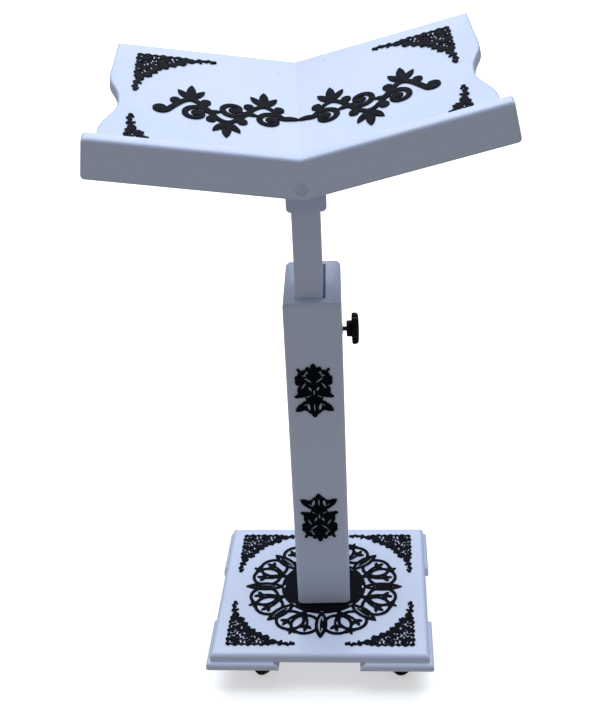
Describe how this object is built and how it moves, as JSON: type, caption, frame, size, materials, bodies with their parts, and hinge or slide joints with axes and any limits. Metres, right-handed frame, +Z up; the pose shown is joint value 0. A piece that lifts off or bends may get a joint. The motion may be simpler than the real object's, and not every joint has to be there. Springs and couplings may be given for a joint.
{
  "type": "book stand",
  "caption": "Height-adjustable standing reader's book stand: V-shaped book rest with front lip on a sliding mast in a clamped box column, square base on swivel casters.",
  "frame": {"origin": "on the floor under the middle of the bounding box", "axes": "+Z up, +Y away from the reader (towards the high back edge of the book rest), +X to the reader's right, where the clamp knob is"},
  "size_m": [0.4966, 0.3556, 0.8445],
  "materials": {
    "white_lacquer": "sprayed gloss lacquer over fibreboard",
    "black_trim": "cut-out ornament, near-black satin gloss",
    "knob_plastic": "moulded, satin",
    "pad_plastic": "moulded, matt",
    "caster_wheel": "matt black",
    "zinc_steel": "zinc plated",
    "black_steel": "black oxide",
    "insert_brass": "turned",
    "raw_wood": "unfinished"
  },
  "bodies": {
    "base": {"base_board": "white_lacquer", "base_corner_laces": "black_trim", "base_rosette": "black_trim", "caster_plate_fl": "zinc_steel", "caster_plate_fr": "zinc_steel", "caster_plate_rl": "zinc_steel", "caster_plate_rr": "zinc_steel", "caster_screws": "zinc_steel", "column_back": "white_lacquer", "column_front": "white_lacquer", "column_left": "white_lacquer", "column_ornament_lower": "black_trim", "column_ornament_upper": "black_trim", "column_plug": "raw_wood", "column_right": "white_lacquer", "column_screws": "zinc_steel", "foot_block_fl": "white_lacquer", "foot_block_fr": "white_lacquer", "foot_block_rl": "white_lacquer", "foot_block_rr": "white_lacquer", "threaded_insert": "insert_brass"},
    "mast": {"mast": "white_lacquer", "head_dowel": "raw_wood", "head_block": "white_lacquer", "left_wing": "white_lacquer", "right_wing": "white_lacquer", "front_lip": "white_lacquer", "lip_plug": "white_lacquer", "left_wing_laces": "black_trim", "right_wing_laces": "black_trim", "left_wing_scroll": "black_trim", "right_wing_scroll": "black_trim"},
    "clamp_pad": {"pressure_pad": "pad_plastic"},
    "clamp": {"clamp_screw": "black_steel", "clamp_knob": "knob_plastic"},
    "swivel_fl": {"caster_fork_fl": "zinc_steel", "caster_axle_fl": "zinc_steel"},
    "wheel_fl": {"caster_wheel_fl": "caster_wheel"},
    "swivel_fr": {"caster_fork_fr": "zinc_steel", "caster_axle_fr": "zinc_steel"},
    "wheel_fr": {"caster_wheel_fr": "caster_wheel"},
    "swivel_rl": {"caster_fork_rl": "zinc_steel", "caster_axle_rl": "zinc_steel"},
    "wheel_rl": {"caster_wheel_rl": "caster_wheel"},
    "swivel_rr": {"caster_fork_rr": "zinc_steel", "caster_axle_rr": "zinc_steel"},
    "wheel_rr": {"caster_wheel_rr": "caster_wheel"}
  },
  "joints": [
    {"name": "mast_slide", "type": "slide", "parent": "base", "child": "mast", "axis": [0, 0, 1], "range_m": [-0.1, 0.19]},
    {"name": "pad_slide", "type": "slide", "parent": "base", "child": "clamp_pad", "axis": [0.9992, 0.0401, 0], "range_m": [0, 0.001]},
    {"name": "clamp_turn", "type": "hinge", "parent": "clamp_pad", "child": "clamp", "pos_m": [0.04072, -0.00264, 0.478], "axis": [0.9992, 0.0401, 0], "range_deg": [0, 360]},
    {"name": "swivel_fl", "type": "hinge", "parent": "base", "child": "swivel_fl", "pos_m": [-0.09438, -0.1085, 0.034], "axis": [0, 0, 1], "continuous": true},
    {"name": "roll_fl", "type": "hinge", "parent": "swivel_fl", "child": "wheel_fl", "pos_m": [-0.08281, -0.12229, 0.017], "axis": [0.766, 0.6428, 0], "continuous": true},
    {"name": "swivel_fr", "type": "hinge", "parent": "base", "child": "swivel_fr", "pos_m": [0.09962, -0.1085, 0.034], "axis": [0, 0, 1], "continuous": true},
    {"name": "roll_fr", "type": "hinge", "parent": "swivel_fr", "child": "wheel_fr", "pos_m": [0.11235, -0.12123, 0.017], "axis": [0.7071, 0.7071, 0], "continuous": true},
    {"name": "swivel_rl", "type": "hinge", "parent": "base", "child": "swivel_rl", "pos_m": [-0.09438, 0.0855, 0.034], "axis": [0, 0, 1], "continuous": true},
    {"name": "roll_rl", "type": "hinge", "parent": "swivel_rl", "child": "wheel_rl", "pos_m": [-0.07794, 0.09282, 0.017], "axis": [-0.4067, 0.9135, 0], "continuous": true},
    {"name": "swivel_rr", "type": "hinge", "parent": "base", "child": "swivel_rr", "pos_m": [0.09962, 0.0855, 0.034], "axis": [0, 0, 1], "continuous": true},
    {"name": "roll_rr", "type": "hinge", "parent": "swivel_rr", "child": "wheel_rr", "pos_m": [0.10807, 0.10139, 0.017], "axis": [-0.8829, 0.4695, 0], "continuous": true}
  ],
  "couplings": [
    {"joint": "pad_slide", "follows": "clamp_turn", "m_per_rad": 0.00015915}
  ]
}
